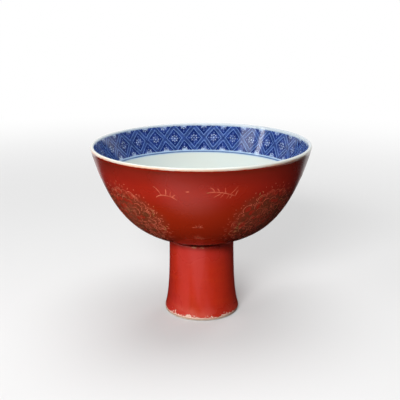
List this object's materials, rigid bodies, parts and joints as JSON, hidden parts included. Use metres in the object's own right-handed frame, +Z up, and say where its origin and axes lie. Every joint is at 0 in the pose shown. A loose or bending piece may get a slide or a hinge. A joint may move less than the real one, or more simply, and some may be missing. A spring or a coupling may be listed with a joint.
{
  "type": "stem bowl",
  "caption": "Porcelain stem bowl: a deep flared bowl luted on a hollow flared stem, coral enamel outside, clear glaze inside with a blue diaper border.",
  "frame": {"origin": "centre of the bare ring that the foot stands on, at the level of the table", "axes": "+Z up along the axis of the stem and the bowl; -Y towards the viewer of the picture, +X to the viewer's right"},
  "size_m": [0.1798, 0.1798, 0.1443],
  "materials": {
    "porcelain_body": "unglazed, biscuit at the foot ring",
    "slip": "unglazed",
    "coral_enamel": "glossy",
    "clear_glaze": "glossy"
  },
  "bodies": {
    "root": {"bowl_body": "porcelain_body", "stem_body": "porcelain_body", "luting_slip": "slip", "bowl_coral_enamel": "coral_enamel", "stem_coral_enamel": "coral_enamel", "bowl_glaze_lining": "clear_glaze", "stem_glaze_lining": "clear_glaze"}
  },
  "joints": []
}
